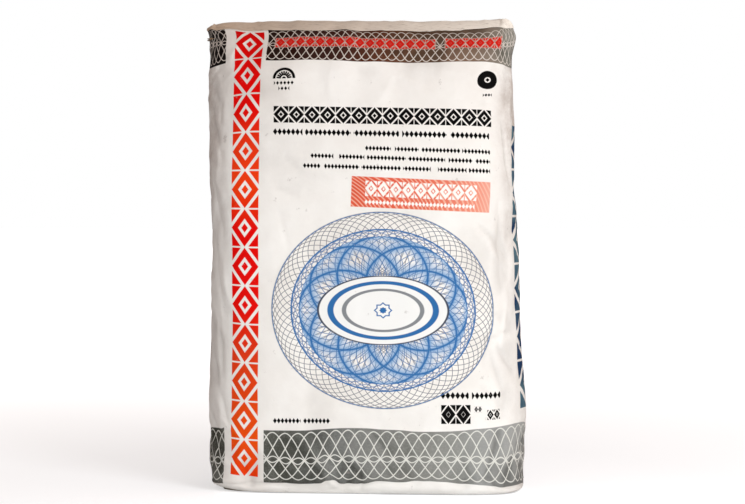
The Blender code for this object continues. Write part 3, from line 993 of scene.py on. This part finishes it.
def paper_dirt_and_shade(tree, face, v, mottle, dent_shade_mask):
    """The sack's white paper: mottled, stained towards the sides, soiled at them with patches that are partly
    painted shade and heavier towards the top, and darker in its dents with painted shade.
    """
    paper = layer(PAPER_SHADED, PAPER_BRIGHT, mottle)
    stain = patches(noise(tree, 4.0, 6.0, 0.7), 0.57, 6.0)
    paper = layer(paper, STAIN, stain * (rise(abs(face), 0.1, 0.24) * 0.3 + 0.1))
    # Patches at the sides, heavier towards the top: partly dirt, partly painted shade
    side_soil_and_shade = rise(noise(tree, 14.0, 6.0, 0.75), 0.4, 0.66) * rise(abs(face), 0.168, 0.228)
    paper = layer(paper, SOIL_AND_SHADE, side_soil_and_shade * (rise(v, 0.25, 0.52) * 0.75 + 0.14))
    # painted shade in the paper's dents
    return layer(paper, DENT_SHADE, dent_shade_mask * 0.3)


def printed_paper():
    """White sack paper with its print, the same on the front and the back.

    Field face is u from the middle of the nearer face. Field across is its mirror image on the back, so that
    a colour that changes along it meets itself at the sides.
    """
    material, tree, shader = new_look("printed_kraft_paper_look", Specular_IOR_Level=0.05)
    map_node = new_node(tree, "UVMap")
    map_node.uv_map = "paper"
    split = new_node(tree, "SeparateXYZ", Vector=map_node.outputs[0])
    u, v = Field(tree, split.outputs[0]), Field(tree, split.outputs[1])
    half_turns = (u * 2.0).made("ROUND")
    face = u - half_turns * 0.5
    across = face * (abs(half_turns) * -2.0 + 1.0)
    attribute = new_node(tree, "Attribute")
    attribute.attribute_name = "relief"
    relief = Field(tree, attribute.outputs["Fac"])
    worn = limited(relief * 0.55 + noise(tree, 34.0, 5.0, 0.6) * 2.2 - 0.75)
    # Painted shade mask: strongest where the relief sinks into dents and grooves, broken up by noise
    dent_shade_mask = limited(relief * -0.42 + noise(tree, 26.0, 5.0, 0.65) * 1.5 - 0.95)
    mottle = patches(noise(tree, 9.0, 5.0, 0.6), 0.36, 3.2)

    sheet = paper_dirt_and_shade(tree, face, v, mottle, dent_shade_mask)
    sheet = print_bands(tree, sheet, face, across, u, v, worn, dent_shade_mask)
    red = shades(v, 0.0, COLUMN_REDS_TO, COLUMN_REDS)
    column = border_from(v, *COLUMN_SPAN, face - v * COLUMN_SLOPE - COLUMN_PLACE, COLUMN)
    sheet = layer(sheet, red, stamp(column))
    sheet = print_lines(sheet, face, v)
    sheet = print_label(sheet, face, v)
    sheet = print_rosette(sheet, face, v)
    side = border_from(v, *SIDE_SPAN, abs(u + SIDE_SHIFT) - SIDE_MIDDLE, SIDE_COLUMN)
    navy = layer(SIDE_BLUE, SIDE_RUB, worn * 0.8)
    sheet = layer(sheet, navy, stamp(side))
    sheet = layer(sheet, GRIME, stamp(noise(tree, 75.0, 5.0, 0.7) - 0.33, 0.02) * 0.35)

    crinkle = noise(tree, 13.0, 7.0, 0.55, "RIDGED_MULTIFRACTAL") * 0.55 + noise(tree, 45.0, 4.0, 0.6) * 0.5
    crinkle = crinkle * (rise(abs(face), 0.13, 0.23) * 1.1 + 1.0)
    nap = noise(tree, 420.0, 3.0, 0.6) * 0.05
    bump = new_node(tree, "Bump", Distance=0.0012, Height=crinkle + nap)
    feed_all(tree, shader, Base_Color=sheet, Roughness=mottle * -0.08 + 0.66, Normal=bump.outputs[0])
    return material


PAPER_DUST = (0.62, 0.6, 0.56)


def kraft(name, light, dark, right=None):
    """Bare kraft paper: two browns mottled together, long fibres, scuffs and a faint nap.

    Where a right-hand colour is given, the browns pass over into it along X, which is painted light: the
    paper grows lighter towards the right.
    """
    material, tree, shader = new_look(name, Specular_IOR_Level=0.25)
    cloudy = patches(noise(tree, 16.0, 4.0), 0.35, 3.0)
    sheet = layer(dark, light, cloudy)
    if right:
        # Painted light: the paper lightens towards the right along X
        place = new_node(tree, "SeparateXYZ", Vector=object_place(tree))
        sheet = layer(sheet, right, rise(Field(tree, place.outputs[0]), -0.21, 0.19) * 0.92)
    fibres = noise(tree, 900.0, 2.0, stretch=(0.12, 1.0, 0.35))
    sheet = layer(sheet, tuple(0.55 * part for part in dark), patches(fibres, 0.56, 3.0))
    sheet = layer(sheet, PAPER_DUST, patches(noise(tree, 38.0, 5.0, 0.65), 0.56, 5.0) * 0.35)
    swell = noise(tree, 60.0, 5.0, 0.6) + fibres * 0.1
    bump = new_node(tree, "Bump", Distance=0.0008, Height=swell)
    feed_all(tree, shader, Base_Color=sheet, Roughness=cloudy * 0.12 + 0.68, Normal=bump.outputs[0])
    return material


FLOOR_REACH, FLOOR_HEIGHT = 30.0, -0.0002
FLOOR_COLOUR = (0.88, 0.9, 0.92)
WHITE = (1.0, 1.0, 1.0)
WORLD_WARMTH, BRIGHT_SIDE = (1.0, 0.87, 0.82), (0.55, -0.75, 0.0)


def build_studio():
    """A wide pale floor that runs out into the white round it."""
    mesh = bpy.data.meshes.new("studio_floor")
    signs = ((-1, -1), (1, -1), (1, 1), (-1, 1))
    corners = [(x * FLOOR_REACH, y * FLOOR_REACH, FLOOR_HEIGHT) for x, y in signs]
    mesh.from_pydata(corners, [], [(0, 1, 2, 3)])
    material, tree, shader = new_look(
        "studio_floor_look",
        Base_Color=FLOOR_COLOUR, Roughness=0.9, Specular_IOR_Level=0.1, Emission_Color=WHITE,
    )
    away = new_node(tree, "VectorMath")
    away.operation = "LENGTH"
    feed(tree, away.inputs[0], object_place(tree))
    far = limited(Field(tree, away.outputs["Value"]) * 0.4 - 0.2)
    seen = Field(tree, new_node(tree, "LightPath").outputs["Is Camera Ray"])
    feed_all(tree, shader, Emission_Strength=seen * (far * 0.5 + 0.5))
    mesh.materials.append(material)
    add_object("studio_floor", mesh)


def build_world():
    """White where the camera looks past the floor, and a weaker warm light from all round."""
    world = bpy.data.worlds.new("studio")
    bpy.context.scene.world = world
    world.use_nodes = True
    tree = world.node_tree
    toward = new_node(tree, "VectorMath")
    toward.operation = "DOT_PRODUCT"
    feed(tree, toward.inputs[0], new_node(tree, "TexCoord").outputs["Generated"])
    toward.inputs[1].default_value = BRIGHT_SIDE
    strength = Field(tree, toward.outputs["Value"]) * 0.38 + 0.44
    glow = feed_all(tree, tree.nodes["Background"], Color=WORLD_WARMTH, Strength=strength)
    white = new_node(tree, "Background", Color=WHITE)
    pick = new_node(tree, "MixShader", Fac=new_node(tree, "LightPath").outputs["Is Camera Ray"])
    feed(tree, pick.inputs[1], glow.outputs[0])
    feed(tree, pick.inputs[2], white.outputs[0])
    feed(tree, tree.nodes["World Output"].inputs["Surface"], pick.outputs[0])


# Lights: name, place, target, size, power and colour
LIGHTS = (
    ("key", (1.1, -1.34, 0.85), (0.02, 0.0, 0.3), (0.7, 0.7), 14.0, (0.97, 1.0, 1.02)),
    ("low_fill", (0.0, -0.75, 0.04), (0.0, 0.0, 0.16), (1.0, 0.06), 1.5, (0.84, 1.0, 1.07)),
)


def area_light(name, place, target, size, watts, colour):
    lamp = bpy.data.lights.new(name, "AREA")
    lamp.shape = "RECTANGLE"
    lamp.size, lamp.size_y = size
    lamp.energy = watts
    lamp.color = colour
    aim(add_object(name, lamp), place, target)


def aim(thing, place, target):
    """Puts an object in its place and turns its own -Z at a target, with its X level."""
    thing.location = place
    x, y, z = np.array(thing.location) - np.array(target)
    thing.rotation_euler = (math.atan2(math.hypot(x, y), z), 0.0, math.atan2(x, -y))


CAMERA_TURN = math.radians(5.0)
CAMERA_DISTANCE = 2.6
CAMERA_HEIGHT = 0.37
CAMERA_TARGET = (0.0078, 0.0, 0.3108)
SENSOR_WIDTH = 36.0
VIEW_WIDTH = 0.98042  # metres that the picture spans at the bag


def build_camera():
    """A long lens a little to the right of the front, and a little above the middle of the bag."""
    view = bpy.data.cameras.new("camera")
    view.sensor_width = SENSOR_WIDTH
    view.lens = SENSOR_WIDTH * CAMERA_DISTANCE / VIEW_WIDTH
    view.clip_start = 0.05
    x, y = CAMERA_DISTANCE * math.sin(CAMERA_TURN), -CAMERA_DISTANCE * math.cos(CAMERA_TURN)
    camera = add_object("camera", view)
    aim(camera, (x, y, CAMERA_HEIGHT), CAMERA_TARGET)
    bpy.context.scene.camera = camera


def main():
    bpy.context.scene.view_settings.view_transform = "Standard"
    points, u, v, relief = sack_grid()
    build_sack(points, u, v, relief)
    build_top_cover(points, u, v)
    build_bottom_cover()
    build_sleeve()
    build_studio()
    build_world()
    for light in LIGHTS:
        area_light(*light)
    build_camera()


main()
